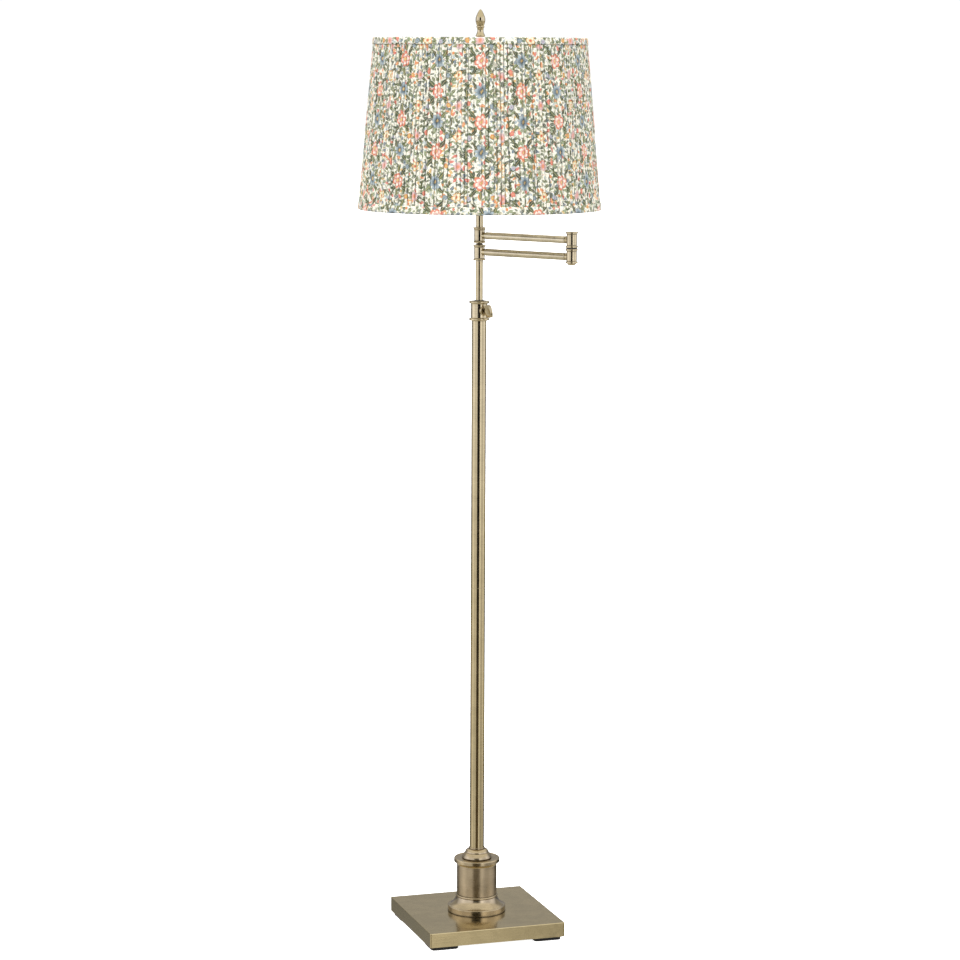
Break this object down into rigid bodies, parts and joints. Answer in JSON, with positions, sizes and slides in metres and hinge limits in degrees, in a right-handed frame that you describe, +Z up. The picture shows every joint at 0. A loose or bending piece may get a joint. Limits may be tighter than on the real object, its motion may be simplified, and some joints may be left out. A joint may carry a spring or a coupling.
{
  "type": "bridge floor lamp",
  "caption": "Floor lamp on a square weighted base: telescoping round pole with a thumbscrew clutch, folding double swing arm, harp, socket and a gathered fabric drum shade.",
  "frame": {"origin": "on the floor, under the axis of the pole and the centre of the square base", "axes": "+Z up the pole; X and Y along the sides of the base; the lead inlet is in the +Y side; the folded arms and the thumbscrew lie towards +X -Y"},
  "size_m": [0.4094, 0.4093, 1.578],
  "materials": {
    "plated_tube": "antique brass plate, brushed round",
    "plated_base": "antique brass plate, polished over a fine brush",
    "turned_brass": "antique brass, turned and lacquered",
    "harp_plate": "antique brass plate",
    "socket_brass": "antique brass, satin",
    "inner_steel": "zinc plated",
    "weight_iron": "rough cast",
    "pad_rubber": "moulded, matt",
    "black_nylon": "moulded nylon",
    "socket_core": "porcelain-like moulding",
    "bulb_metal": "bright",
    "bulb_envelope": "frosted white",
    "knob_plastic": "moulded black",
    "shade_fabric": "gathered printed cotton",
    "shade_lining": "white laminate",
    "shade_wire": "white painted wire"
  },
  "bodies": {
    "base": {"base_shell": "plated_base", "base_weight": "weight_iron", "base_bottom_cover": "inner_steel", "bottom_cover_screws": "inner_steel", "base_pads": "pad_rubber", "cord_bushing": "black_nylon", "base_nipple": "inner_steel", "base_locknut": "inner_steel", "base_washer": "inner_steel", "column_foot": "turned_brass", "column_sleeve": "plated_tube", "column_cap": "turned_brass", "pole_dome": "turned_brass", "pole_seat_ring": "turned_brass", "lower_pole": "plated_tube", "upper_outer_pole": "plated_tube", "pole_bottom_plug": "inner_steel", "pole_coupler": "inner_steel", "clutch_collar": "turned_brass", "clutch_bushing": "black_nylon"},
    "clutch_pad": {"clutch_pad": "black_nylon"},
    "thumbscrew": {"thumbscrew_shank": "turned_brass", "thumbscrew_paddle": "turned_brass"},
    "mast": {"inner_pole": "plated_tube", "inner_pole_stop": "black_nylon", "pole_pivot_stud": "inner_steel", "pole_friction_washer": "black_nylon", "pole_cap_nut": "turned_brass"},
    "lower_arm": {"pole_knuckle": "turned_brass", "lower_arm_tube": "plated_tube", "elbow_lower_knuckle": "turned_brass", "elbow_pivot_stud": "inner_steel", "elbow_bottom_cap": "turned_brass", "elbow_washer": "black_nylon", "elbow_top_cap": "turned_brass"},
    "upper_arm": {"elbow_upper_knuckle": "turned_brass", "upper_arm_tube": "plated_tube", "head_knuckle": "turned_brass"},
    "head": {"head_pivot_stud": "inner_steel", "head_bottom_cap": "turned_brass", "stem_base_cap": "turned_brass", "stem_tube": "plated_tube", "stem_check_ring": "turned_brass", "socket_nipple": "inner_steel", "harp_saddle": "harp_plate", "harp_bow": "harp_plate", "harp_sleeves": "harp_plate", "harp_top_stud": "harp_plate", "socket_cap": "socket_brass", "socket_shell": "socket_brass", "socket_body": "socket_core", "socket_screw_shell": "bulb_metal", "bulb_base": "bulb_metal", "bulb_glass": "bulb_envelope", "finial": "turned_brass", "shade_cover": "shade_fabric", "shade_liner": "shade_lining", "shade_bottom_ring": "shade_wire", "shade_top_ring_spider": "shade_wire"},
    "switch_knob": {"switch_knob": "knob_plastic"}
  },
  "joints": [
    {"name": "mast_slide", "type": "slide", "parent": "base", "child": "mast", "axis": [0, 0, 1], "range_m": [-0.064, 0.23]},
    {"name": "lower_arm_swing", "type": "hinge", "parent": "mast", "child": "lower_arm", "pos_m": [0, 0, 1.1725], "axis": [0, 0, 1], "range_deg": [-170, 170]},
    {"name": "elbow_swing", "type": "hinge", "parent": "lower_arm", "child": "upper_arm", "pos_m": [0.10706, -0.16298, 1.2015], "axis": [0, 0, 1], "range_deg": [-170, 170]},
    {"name": "head_swivel", "type": "hinge", "parent": "upper_arm", "child": "head", "pos_m": [0, 0, 1.2125], "axis": [0, 0, 1], "range_deg": [-170, 170]},
    {"name": "switch_turn", "type": "hinge", "parent": "head", "child": "switch_knob", "pos_m": [0, -0.02, 1.3121], "axis": [0, -1, 0], "continuous": true},
    {"name": "clutch_pad_travel", "type": "slide", "parent": "base", "child": "clutch_pad", "axis": [0.3338, -0.9426, 0], "range_m": [0, 0.0015]},
    {"name": "thumbscrew_turn", "type": "hinge", "parent": "clutch_pad", "child": "thumbscrew", "pos_m": [0.00534, -0.01508, 1.0751], "axis": [0.3338, -0.9426, 0], "range_deg": [0, 540.1]}
  ],
  "couplings": [
    {"joint": "thumbscrew_turn", "follows": "clutch_pad_travel", "rad_per_m": 6283.2}
  ]
}
